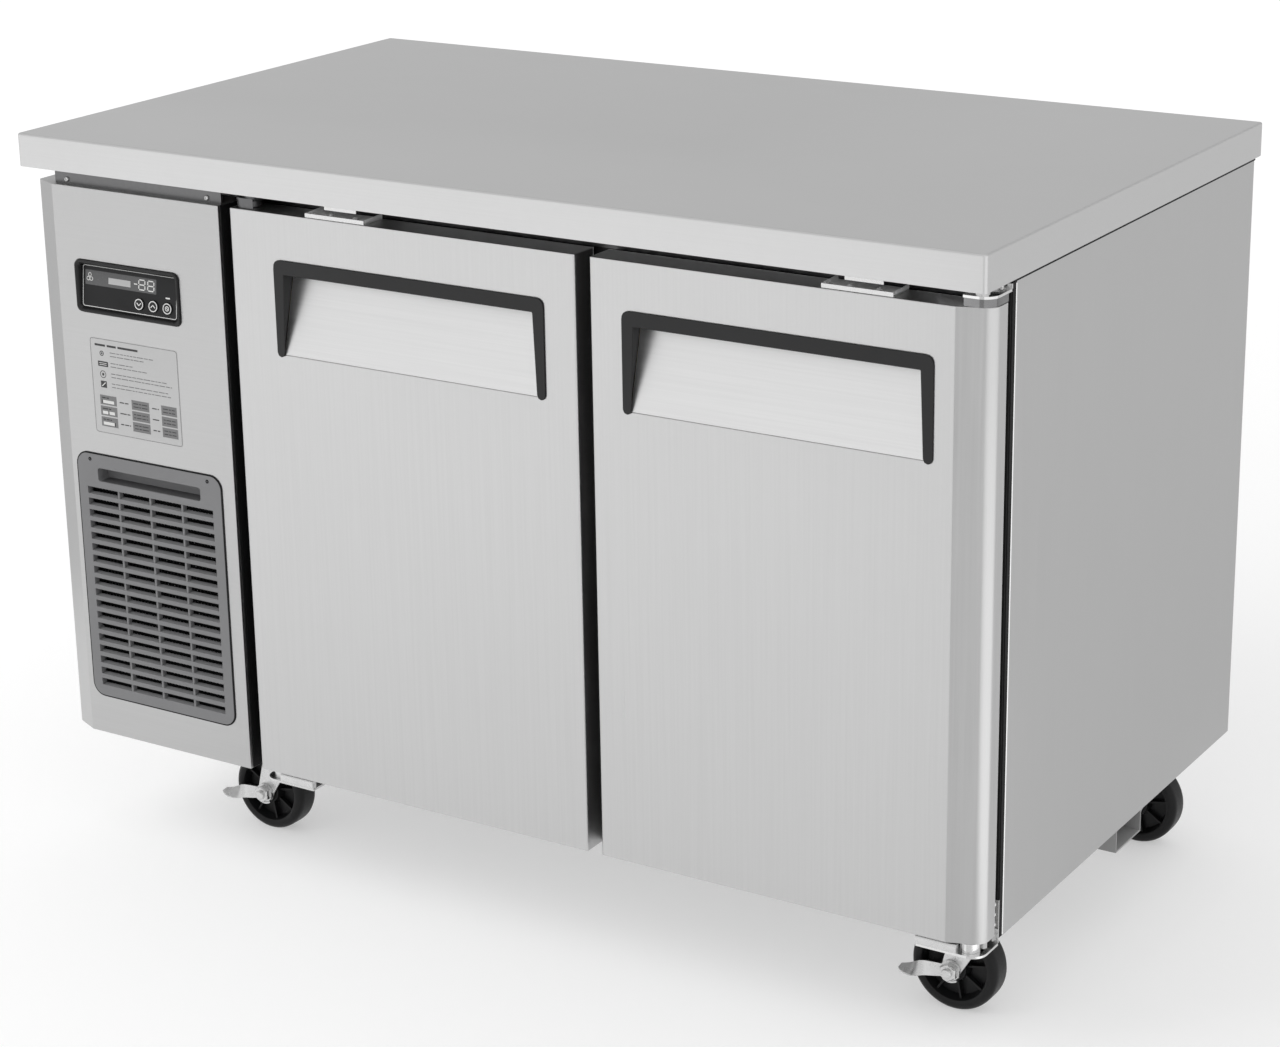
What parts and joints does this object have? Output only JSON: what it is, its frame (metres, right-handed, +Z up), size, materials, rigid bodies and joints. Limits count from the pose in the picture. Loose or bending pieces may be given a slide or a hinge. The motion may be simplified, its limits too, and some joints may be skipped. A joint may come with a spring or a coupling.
{
  "type": "under counter refrigerator",
  "caption": "Under-counter refrigerator with side machine compartment, louvre grille, control panel, hinged doors with recessed handles, worktop and swivel casters.",
  "frame": {"origin": "on the floor, under the middle of the worktop", "axes": "+X to the right along the front, +Y to the back, +Z up"},
  "size_m": [1.2, 0.7, 0.85],
  "materials": {
    "brushed_steel": "fine brushed stainless steel",
    "bright_steel": "bright stainless steel",
    "zinc": "bright zinc plate",
    "wheel_rubber": "black, smooth",
    "black_plastic": "fine moulded texture",
    "grey_plastic": "fine moulded texture",
    "smoked_plastic": "semi gloss",
    "button_plastic": "satin",
    "white_plastic": "satin",
    "foam": "rigid foam",
    "gasket_rubber": "matte black",
    "coated_wire": "coated wire",
    "aluminium": "mill finish fins",
    "copper": "copper tube",
    "black_paint": "semi gloss black"
  },
  "bodies": {
    "cabinet": {"worktop": "brushed_steel", "cabinet_shell": "brushed_steel", "machine_front_panel": "brushed_steel", "machine_side_panel": "brushed_steel", "machine_rear_panel": "brushed_steel", "cabinet_liner": "bright_steel", "base_channel": "zinc", "machine_base": "zinc", "left_top_hinge_bracket": "zinc", "left_bottom_hinge_bracket": "zinc", "right_top_hinge_bracket": "zinc", "right_bottom_hinge_bracket": "zinc", "front_left_caster_plate": "zinc", "front_right_caster_plate": "zinc", "back_left_caster_plate": "zinc", "back_right_caster_plate": "zinc", "front_frame": "black_plastic", "control_bezel": "black_plastic", "louvre_grille": "grey_plastic", "display_panel": "smoked_plastic", "evaporator_cover": "white_plastic", "cabinet_insulation": "foam", "left_shelf": "coated_wire", "right_shelf": "coated_wire", "condenser_coil": "aluminium", "evaporator_coil": "aluminium", "discharge_tube": "copper", "compressor": "black_paint", "condenser_fan_shroud": "black_paint", "evaporator_fan_motor": "black_paint"},
    "left_door": {"left_door_skin": "brushed_steel", "left_door_insulation": "foam", "left_door_liner": "white_plastic", "left_door_gasket": "gasket_rubber", "left_door_handle_surround": "black_plastic", "left_door_handle_scoop": "bright_steel", "left_door_check_rail": "bright_steel"},
    "right_door": {"right_door_skin": "brushed_steel", "right_door_insulation": "foam", "right_door_liner": "white_plastic", "right_door_gasket": "gasket_rubber", "right_door_handle_surround": "black_plastic", "right_door_handle_scoop": "bright_steel", "right_door_check_rail": "bright_steel"},
    "front_left_caster_swivel": {"front_left_caster_fork": "zinc"},
    "front_left_caster_roller": {"front_left_caster_wheel": "wheel_rubber"},
    "front_left_caster_lever": {"front_left_caster_brake": "zinc"},
    "front_right_caster_swivel": {"front_right_caster_fork": "zinc"},
    "front_right_caster_roller": {"front_right_caster_wheel": "wheel_rubber"},
    "front_right_caster_lever": {"front_right_caster_brake": "zinc"},
    "back_left_caster_swivel": {"back_left_caster_fork": "zinc"},
    "back_left_caster_roller": {"back_left_caster_wheel": "wheel_rubber"},
    "back_right_caster_swivel": {"back_right_caster_fork": "zinc"},
    "back_right_caster_roller": {"back_right_caster_wheel": "wheel_rubber"},
    "condenser_fan_rotor": {"condenser_fan": "black_plastic"},
    "evaporator_fan_rotor": {"evaporator_fan": "black_plastic"},
    "mode_key": {"mode_button": "button_plastic"},
    "up_key": {"up_button": "button_plastic"},
    "down_key": {"down_button": "button_plastic"}
  },
  "joints": [
    {"name": "left_door_hinge", "type": "hinge", "parent": "cabinet", "child": "left_door", "pos_m": [-0.294, -0.3155, 0.463], "axis": [0, 0, -1], "range_deg": [0, 100]},
    {"name": "right_door_hinge", "type": "hinge", "parent": "cabinet", "child": "right_door", "pos_m": [0.58, -0.3155, 0.463], "axis": [0, 0, 1], "range_deg": [0, 100]},
    {"name": "front_left_caster_swivel_turn", "type": "hinge", "parent": "cabinet", "child": "front_left_caster_swivel", "pos_m": [-0.363, -0.215, 0.115], "axis": [0, 0, 1], "continuous": true},
    {"name": "front_left_caster_wheel_spin", "type": "hinge", "parent": "front_left_caster_swivel", "child": "front_left_caster_roller", "pos_m": [-0.391, -0.215, 0.04957], "axis": [0, 1, 0], "continuous": true},
    {"name": "front_left_caster_brake_lift", "type": "hinge", "parent": "front_left_caster_swivel", "child": "front_left_caster_lever", "pos_m": [-0.391, -0.2373, 0.04957], "axis": [0, 1, 0], "range_deg": [0, 25]},
    {"name": "front_right_caster_swivel_turn", "type": "hinge", "parent": "cabinet", "child": "front_right_caster_swivel", "pos_m": [0.548, -0.215, 0.115], "axis": [0, 0, 1], "continuous": true},
    {"name": "front_right_caster_wheel_spin", "type": "hinge", "parent": "front_right_caster_swivel", "child": "front_right_caster_roller", "pos_m": [0.52, -0.215, 0.04957], "axis": [0, 1, 0], "continuous": true},
    {"name": "front_right_caster_brake_lift", "type": "hinge", "parent": "front_right_caster_swivel", "child": "front_right_caster_lever", "pos_m": [0.52, -0.2373, 0.04957], "axis": [0, 1, 0], "range_deg": [0, 25]},
    {"name": "back_left_caster_swivel_turn", "type": "hinge", "parent": "cabinet", "child": "back_left_caster_swivel", "pos_m": [-0.363, 0.264, 0.115], "axis": [0, 0, 1], "continuous": true},
    {"name": "back_left_caster_wheel_spin", "type": "hinge", "parent": "back_left_caster_swivel", "child": "back_left_caster_roller", "pos_m": [-0.391, 0.264, 0.04957], "axis": [0, 1, 0], "continuous": true},
    {"name": "back_right_caster_swivel_turn", "type": "hinge", "parent": "cabinet", "child": "back_right_caster_swivel", "pos_m": [0.548, 0.264, 0.115], "axis": [0, 0, 1], "continuous": true},
    {"name": "back_right_caster_wheel_spin", "type": "hinge", "parent": "back_right_caster_swivel", "child": "back_right_caster_roller", "pos_m": [0.52, 0.264, 0.04957], "axis": [0, 1, 0], "continuous": true},
    {"name": "condenser_fan_spin", "type": "hinge", "parent": "cabinet", "child": "condenser_fan_rotor", "pos_m": [-0.4604, -0.21283, 0.2943], "axis": [0, 1, 0], "continuous": true},
    {"name": "evaporator_fan_spin", "type": "hinge", "parent": "cabinet", "child": "evaporator_fan_rotor", "pos_m": [-0.20877, -0.0603, 0.6104], "axis": [1, 0, 0], "continuous": true},
    {"name": "mode_button_press", "type": "slide", "parent": "cabinet", "child": "mode_key", "axis": [0, 0.9945, -0.1045], "range_m": [0, 0.001], "stiffness_N_per_m": 400},
    {"name": "up_button_press", "type": "slide", "parent": "cabinet", "child": "up_key", "axis": [0, 0.9945, -0.1045], "range_m": [0, 0.001], "stiffness_N_per_m": 400},
    {"name": "down_button_press", "type": "slide", "parent": "cabinet", "child": "down_key", "axis": [0, 0.9945, -0.1045], "range_m": [0, 0.001], "stiffness_N_per_m": 400}
  ]
}
